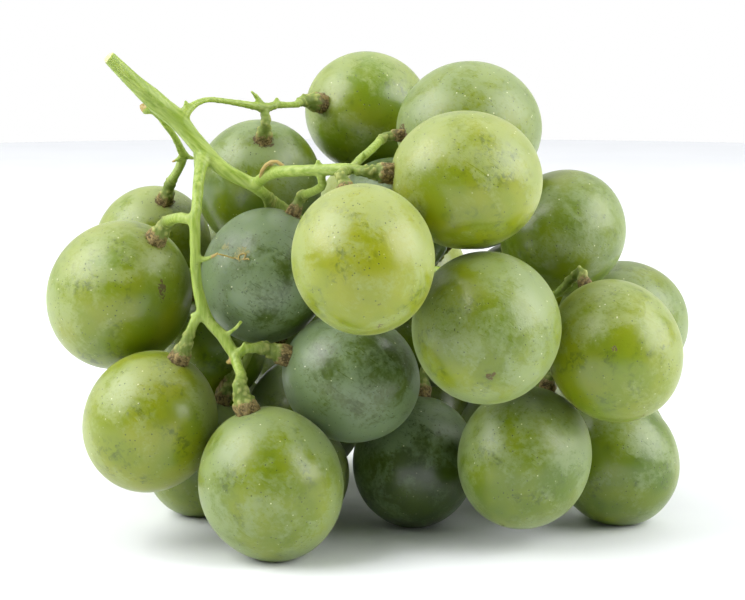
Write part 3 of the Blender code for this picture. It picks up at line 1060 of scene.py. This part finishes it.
    def draw(self, shell: bmesh.types.BMesh, route: list[Vector], radius: float) -> None:
        """Draws a ring along a route, as a closed dried strand.

        Args:
            shell: The mesh in the making, which carries the layer dry.
            route: The strand's middle line, in metres.
            radius: Its radius, in millimetres.
        """
        dry = shell.verts.layers.float["dry"]
        way = (route[1] - route[0]).normalized()
        seat = Matrix.Translation(route[0]) @ way.to_track_quat("Z", "Y").to_matrix().to_4x4()
        made = bmesh.ops.create_circle(
            shell, cap_ends=True, segments=self.strand_sides, radius=radius * MM, matrix=seat
        )
        ring = made["verts"]
        tube = list(ring)
        edges = list({edge for vert in ring for edge in vert.link_edges})
        for index in range(1, len(route)):
            drawn = bmesh.ops.extrude_edge_only(shell, edges=edges)["geom"]
            ring = [item for item in drawn if isinstance(item, bmesh.types.BMVert)]
            edges = [item for item in drawn if isinstance(item, bmesh.types.BMEdge)]
            ahead = (route[min(index + 1, len(route) - 1)] - route[index - 1]).normalized()
            bend = way.rotation_difference(ahead).to_matrix().to_4x4()
            move = Matrix.Translation(route[index]) @ bend @ Matrix.Translation(-route[index - 1])
            bmesh.ops.transform(shell, matrix=move, verts=ring)
            way = ahead
            tube.extend(ring)
        bmesh.ops.contextual_create(shell, geom=edges)
        for vert in tube:
            vert[dry] = 1.0
        faces = list({face for vert in tube for face in vert.link_faces})
        bmesh.ops.recalc_face_normals(shell, faces=faces)
        for face in faces:
            face.smooth = True


@dataclass(frozen=True)
class Softbox:
    """A large soft light that faces the bunch."""

    name: str
    way: Way  # to it from the target
    distance: float  # in metres, as its width and height are
    width: float
    height: float
    power: float  # in watts

    def build(self, target: Vector) -> None:
        """Puts the light up.

        Args:
            target: The point that it faces, in metres.
        """
        lamp = bpy.data.lights.new(self.name, "AREA")
        lamp.shape = "RECTANGLE"
        lamp.size = self.width
        lamp.size_y = self.height
        lamp.energy = self.power
        light = placed(self.name, lamp)
        way = Vector(self.way).normalized()
        light.location = target + way * self.distance
        light.rotation_euler = way.to_track_quat("Z", "Y").to_euler()
        light.visible_camera = False


@dataclass
class Studio:
    """The pale floor, the white surroundings, the lights and the camera."""

    aim: Way = (-0.081, -12.495, 41.0)
    elevation: float = 9.0  # in degrees
    distance: float = 420.0
    lens: float = 116.7
    sensor: float = 36.0
    floor_radius: float = 0.75  # in metres
    floor_sides: int = 96
    floor_dark: Colour = (0.82, 0.84, 0.87, 1.0)
    floor_pale: Colour = (0.84, 0.86, 0.89, 1.0)
    floor_mottle: Pattern = Pattern(60.0, 2.0, Step(0.3, 0.7))
    glow: Step = Step(-0.3, 0.6, 0.15, 0.9)  # of the surroundings, from the front to the back
    softboxes: tuple[Softbox, ...] = (
        Softbox("left_softbox", (-0.73, -0.18, 0.62), 0.75, 0.72, 0.62, 8.4),
        Softbox("right_softbox", (0.85, -0.19, 0.48), 0.75, 0.72, 0.62, 7.2),
        Softbox("ceiling", (0.0, 0.2, 1.0), 1.6, 2.4, 2.4, 12.0),
    )

    def build(self) -> None:
        """Makes everything round the bunch."""
        scene = bpy.context.scene
        scene.view_settings.view_transform = "Standard"
        scene.view_settings.look = "None"
        target = Vector(self.aim) * MM
        for softbox in self.softboxes:
            softbox.build(target)
        self.build_floor()
        self.build_world()
        self.build_camera(target)

    def build_floor(self) -> None:
        """Lays a wide matt white disc under the bunch."""
        disc = bmesh.new()
        bmesh.ops.create_circle(
            disc, cap_ends=True, segments=self.floor_sides, radius=self.floor_radius
        )
        mesh = bpy.data.meshes.new("floor")
        disc.to_mesh(mesh)
        disc.free()
        material = bpy.data.materials.new("white_floor")
        recipe = Recipe(material)
        mottle = recipe.pattern(self.floor_mottle)
        colour = recipe.blend(mottle, self.floor_dark, self.floor_pale)
        recipe.finish({"Base Color": colour, "Roughness": 0.7, "Specular IOR Level": 0.2})
        mesh.materials.append(material)
        floor = placed("floor", mesh)

    def build_world(self) -> None:
        """White to look at, bright behind the bunch and dim in front of it as a light."""
        world = bpy.data.worlds.new("surroundings")
        bpy.context.scene.world = world
        recipe = Recipe(world)
        way = recipe.add("ShaderNodeTexCoord").outputs["Generated"]
        back = recipe.add("ShaderNodeSeparateXYZ", {"Vector": way}).outputs["Y"]
        seen = recipe.add("ShaderNodeLightPath").outputs["Is Camera Ray"]
        strength = recipe.sum("MAXIMUM", recipe.step(back, self.glow), seen)
        sky = recipe.add("ShaderNodeBackground", {"Color": WHITE, "Strength": strength})
        recipe.add("ShaderNodeOutputWorld", {"Surface": sky.outputs["Background"]})

    def build_camera(self, target: Vector) -> None:
        """Puts the camera up, looking slightly down.

        Args:
            target: The point that it looks at, in metres.
        """
        data = bpy.data.cameras.new("camera")
        data.lens = self.lens
        data.sensor_width = self.sensor
        camera = placed("camera", data)
        tilt = math.radians(self.elevation)
        back = Vector((0.0, -math.cos(tilt), math.sin(tilt)))
        camera.location = target + back * (self.distance * MM)
        camera.rotation_euler = back.to_track_quat("Z", "Y").to_euler()
        bpy.context.scene.camera = camera


@dataclass
class Bunch:
    """The whole bunch: its grapes and its stem."""

    grapes: list[Grape] = field(  # each one's number, skin, ripeness and bloom
        default_factory=lambda: [
            Grape(
                1, Skin.YELLOW, 0.85, 0.5, (Mark((0.21, -0.86, -0.46), 0.4),), clear_side=(0.1, -0.95, -0.25)
            ),
            Grape(
                2,
                Skin.GREEN,
                0.75,
                0.55,
                (Mark((0.0, -0.9, -0.44), 0.7), Mark((0.05, -0.92, -0.4), 0.4)),
                clear_side=(-0.25, -0.95, 0.1),
            ),
            Grape(3, Skin.YELLOW, 0.7, 0.35, longer=1.11, clear_side=(0.1, -0.75, -0.65)),
            Grape(
                4, Skin.YELLOW, 0.55, 0.3, (Mark((-0.1, -0.97, 0.2), 0.5),), clear_side=(-0.2, -0.9, -0.4)
            ),
            Grape(5, Skin.GREEN, 0.5, 0.5, clear_side=(0.0, -0.85, -0.55)),
            Grape(6, Skin.GREEN, 0.6, 0.55, clear_side=(0.1, -1.0, 0.0)),
            Grape(7, Skin.BLOOMED, 0.4, 0.85, clear_side=(0.3, -0.9, 0.3)),
            Grape(8, Skin.YELLOW, 0.7, 0.35, clear_side=(0.3, -0.9, -0.35)),
            Grape(
                9,
                Skin.BLOOMED,
                0.45,
                0.75,
                (
                    Mark((-0.33, -0.82, 0.46), 1.7, scuff=True),
                    Mark((-0.57, -0.62, 0.55), 1.1, scuff=True),
                    Mark((-0.26, -0.96, -0.05), 0.5, scuff=True),
                ),
                clear_side=(0.6, -0.7, -0.35),
            ),
            Grape(
                10,
                Skin.YELLOW,
                0.5,
                0.32,
                (Mark((0.64, -0.75, 0.17), 0.75, taller=2.6),),
                clear_side=(0.5, -0.75, -0.45),
            ),
            Grape(11, Skin.BLOOMED, 0.2, 0.5),
            Grape(12, Skin.GREEN, 0.4, 0.3),
            Grape(13, Skin.GREEN, 0.5, 0.35),
            Grape(14, Skin.GREEN, 0.45, 0.45),
            Grape(15, Skin.GREEN, 0.5, 0.35, clear_side=(-0.4, -0.8, -0.5)),
            Grape(16, Skin.GREEN, 0.6, 0.45),
            Grape(17, Skin.YELLOW, 0.3, 0.3, clear_side=(0.2, -0.85, -0.45)),
            Grape(18, Skin.GREEN, 0.4, 0.3, clear_side=(-0.4, -0.8, -0.5)),
            Grape(19, Skin.YELLOW, 0.5, 0.3),
            Grape(20, Skin.BLOOMED, 0.4, 0.6),
            Grape(21, Skin.YELLOW, 0.2, 0.25),
            Grape(22, Skin.GREEN, 0.5, 0.4),
            Grape(23, Skin.GREEN, 0.4, 0.3),
            Grape(24, Skin.GREEN, 0.4, 0.4),
            Grape(25, Skin.GREEN, 0.5, 0.4),
            Grape(26, Skin.GREEN, 0.4, 0.5),
            Grape(27, Skin.GREEN, 0.6, 0.35),
            Grape(28, Skin.GREEN, 0.5, 0.45),
            Grape(29, Skin.YELLOW, 0.6, 0.3),
            Grape(30, Skin.GREEN, 0.6, 0.4),
            Grape(31, Skin.YELLOW, 0.7, 0.25),
            Grape(32, Skin.GREEN, 0.4, 0.55),
            Grape(33, Skin.GREEN, 0.5, 0.4),
            Grape(34, Skin.GREEN, 0.6, 0.3),
            Grape(35, Skin.YELLOW, 0.7, 0.35),
            Grape(36, Skin.GREEN, 0.4, 0.4),
        ]
    )

    def build(self) -> None:
        """Makes the finishes and every piece, and reports each."""
        skins = {skin: skin.value.material() for skin in Skin}
        stem_points = points_of(frame["nodes"][STEM_NODE].data)
        for grape in self.grapes:
            grape.measure(stem_points)
            self.report(grape.build(skins[grape.skin]))
        self.report(Stem(self.grapes).build(BarkFinish()))

    def report(self, piece: bpy.types.Object) -> None:
        """Logs a finished piece's size."""
        sides = " x ".join(f"{side / MM:.1f}" for side in piece.dimensions)
        LOG.info("%s: %s mm, %d faces", piece.name, sides, len(piece.data.polygons))


def main() -> None:
    """Builds the bunch and its studio."""
    logging.basicConfig(level=logging.INFO, format="%(name)s: %(message)s")
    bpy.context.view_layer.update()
    Bunch().build()
    Studio().build()


if __name__ == "__main__":
    main()
